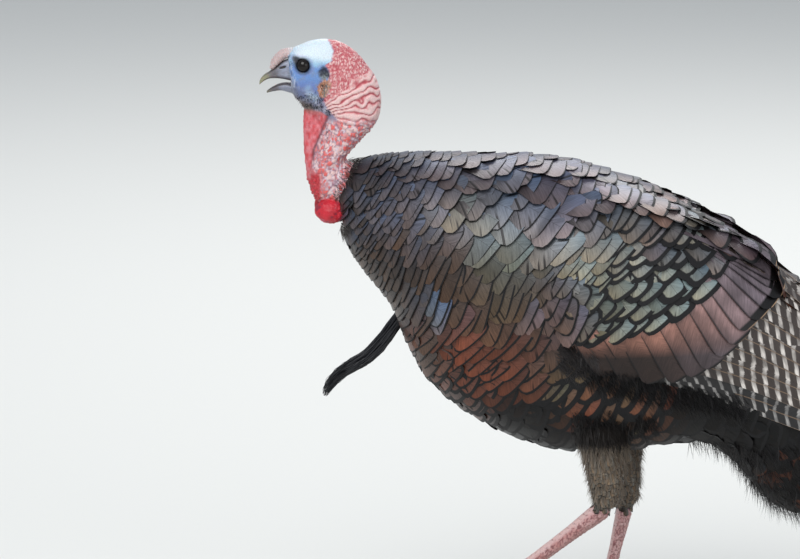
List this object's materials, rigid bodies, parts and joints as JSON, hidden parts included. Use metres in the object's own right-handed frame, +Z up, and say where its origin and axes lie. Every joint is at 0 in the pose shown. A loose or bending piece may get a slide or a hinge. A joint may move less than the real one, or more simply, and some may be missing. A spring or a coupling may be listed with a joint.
{
  "type": "wild turkey",
  "caption": "Life-size still model of an adult male wild turkey walking, with bare head, beard, folded wings and lowered tail",
  "frame": {"origin": "on the floor, at the centre of the bird's box seen from above", "axes": "the bird faces -X, its left side is -Y and +Z is up, so +X runs from the bill to the tail"},
  "size_m": [0.8914, 0.259, 0.7398],
  "materials": {
    "bare_skin": "satin wrinkled skin",
    "red_skin": "glossy smooth skin",
    "horn": "satin horn",
    "eye": "wet gloss",
    "bronze_feather": "iridescent bronze feather",
    "copper_feather": "iridescent copper feather",
    "barred_feather": "matt barred feather",
    "dark_feather": "matt dark feather",
    "beard_bristle": "coarse bristle",
    "leg_scale": "satin scale",
    "claw_horn": "satin horn"
  },
  "bodies": {
    "root": {"beard": "beard_bristle", "bill_lower": "horn", "bill_upper": "horn", "breast": "bronze_feather", "caruncle_left": "red_skin", "caruncle_right": "red_skin", "claw_hind_left": "claw_horn", "claw_hind_right": "claw_horn", "claw_inner_left": "claw_horn", "claw_inner_right": "claw_horn", "claw_middle_left": "claw_horn", "claw_middle_right": "claw_horn", "claw_outer_left": "claw_horn", "claw_outer_right": "claw_horn", "dewlap": "red_skin", "eye_left": "eye", "eye_right": "eye", "foot_left": "leg_scale", "foot_right": "leg_scale", "head": "bare_skin", "neck_lower": "bare_skin", "neck_upper": "bare_skin", "primaries_left": "barred_feather", "primaries_right": "barred_feather", "primary_coverts_left": "dark_feather", "primary_coverts_right": "dark_feather", "rump": "dark_feather", "secondaries_left": "barred_feather", "secondaries_right": "barred_feather", "shank_left": "leg_scale", "shank_right": "leg_scale", "snood": "bare_skin", "spur_left": "claw_horn", "spur_right": "claw_horn", "tail": "barred_feather", "tail_coverts_under": "dark_feather", "tail_coverts_upper": "bronze_feather", "thigh_left": "bronze_feather", "thigh_right": "bronze_feather", "toe_hind_left": "leg_scale", "toe_hind_right": "leg_scale", "toe_inner_left": "leg_scale", "toe_inner_right": "leg_scale", "toe_middle_left": "leg_scale", "toe_middle_right": "leg_scale", "toe_outer_left": "leg_scale", "toe_outer_right": "leg_scale", "trunk": "bronze_feather", "wing_left": "copper_feather", "wing_right": "copper_feather"}
  },
  "joints": []
}
